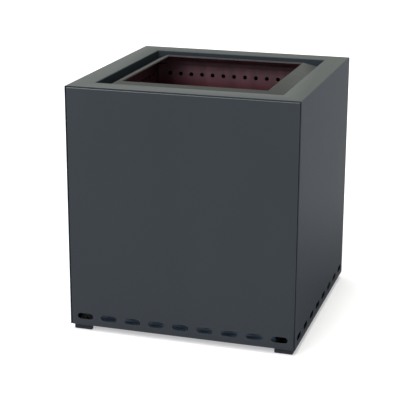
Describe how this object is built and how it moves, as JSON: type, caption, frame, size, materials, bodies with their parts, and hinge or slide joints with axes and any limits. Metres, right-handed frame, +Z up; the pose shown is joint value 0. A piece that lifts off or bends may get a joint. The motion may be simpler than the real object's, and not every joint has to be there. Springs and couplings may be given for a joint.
{
  "type": "smokeless fire pit",
  "caption": "Square double-walled steel fire pit with a hipped lift-off mouth collar, perforated burn chamber, rod grate and ash pan, on low feet.",
  "frame": {"origin": "on the ground, under the middle of the cabinet", "axes": "+Z up, -Y towards the front panel, +X towards the right side as seen from the front"},
  "size_m": [0.38, 0.38, 0.41],
  "materials": {
    "shell_paint": "dark grey satin powder coat",
    "collar_paint": "dark grey satin heat-resistant paint",
    "chamber_steel": "dark maroon heat-resistant coat, slightly glossy",
    "dark_steel": "black heat-resistant coat",
    "foot_plastic": "moulded, dull",
    "black_zinc": "black zinc plated"
  },
  "bodies": {
    "cabinet": {"outer_wrap": "shell_paint", "front_panel": "shell_paint", "rear_panel": "shell_paint", "base_plate": "shell_paint", "chamber_front_wall": "chamber_steel", "chamber_rear_wall": "chamber_steel", "chamber_left_wall": "chamber_steel", "chamber_right_wall": "chamber_steel", "chamber_floor": "chamber_steel", "collar_gusset_front_left": "dark_steel", "collar_gusset_front_right": "dark_steel", "collar_gusset_rear_left": "dark_steel", "collar_gusset_rear_right": "dark_steel", "corner_bracket_front_left": "dark_steel", "corner_bracket_front_right": "dark_steel", "corner_bracket_rear_left": "dark_steel", "corner_bracket_rear_right": "dark_steel", "foot_front_left": "foot_plastic", "foot_front_right": "foot_plastic", "foot_rear_left": "foot_plastic", "foot_rear_right": "foot_plastic", "foot_screw_front_left": "black_zinc", "foot_screw_front_right": "black_zinc", "foot_screw_rear_left": "black_zinc", "foot_screw_rear_right": "black_zinc", "foot_nut_front_left": "black_zinc", "foot_nut_front_right": "black_zinc", "foot_nut_rear_left": "black_zinc", "foot_nut_rear_right": "black_zinc", "corner_rivet_front_left_lower": "black_zinc", "corner_rivet_front_left_upper": "black_zinc", "corner_rivet_front_right_lower": "black_zinc", "corner_rivet_front_right_upper": "black_zinc", "corner_rivet_rear_left_lower": "black_zinc", "corner_rivet_rear_left_upper": "black_zinc", "corner_rivet_rear_right_lower": "black_zinc", "corner_rivet_rear_right_upper": "black_zinc", "floor_rivet_front": "black_zinc", "floor_rivet_rear": "black_zinc", "floor_rivet_left": "black_zinc", "floor_rivet_right": "black_zinc"},
    "collar": {"mouth_collar": "collar_paint"},
    "pan": {"ash_pan": "dark_steel"},
    "grate": {"grate_frame_front": "dark_steel", "grate_frame_rear": "dark_steel", "grate_bar_1": "dark_steel", "grate_bar_2": "dark_steel", "grate_bar_3": "dark_steel", "grate_bar_4": "dark_steel", "grate_bar_5": "dark_steel", "grate_bar_6": "dark_steel", "grate_bar_7": "dark_steel", "grate_bar_8": "dark_steel", "grate_bar_9": "dark_steel"}
  },
  "joints": [
    {"name": "collar_lift", "type": "slide", "parent": "cabinet", "child": "collar", "axis": [0, 0, 1], "range_m": [0, 0.12]},
    {"name": "pan_lift", "type": "slide", "parent": "cabinet", "child": "pan", "axis": [0, 0, 1], "range_m": [0, 0.42]},
    {"name": "grate_lift", "type": "slide", "parent": "pan", "child": "grate", "axis": [0, 0, 1], "range_m": [0, 0.42]}
  ]
}
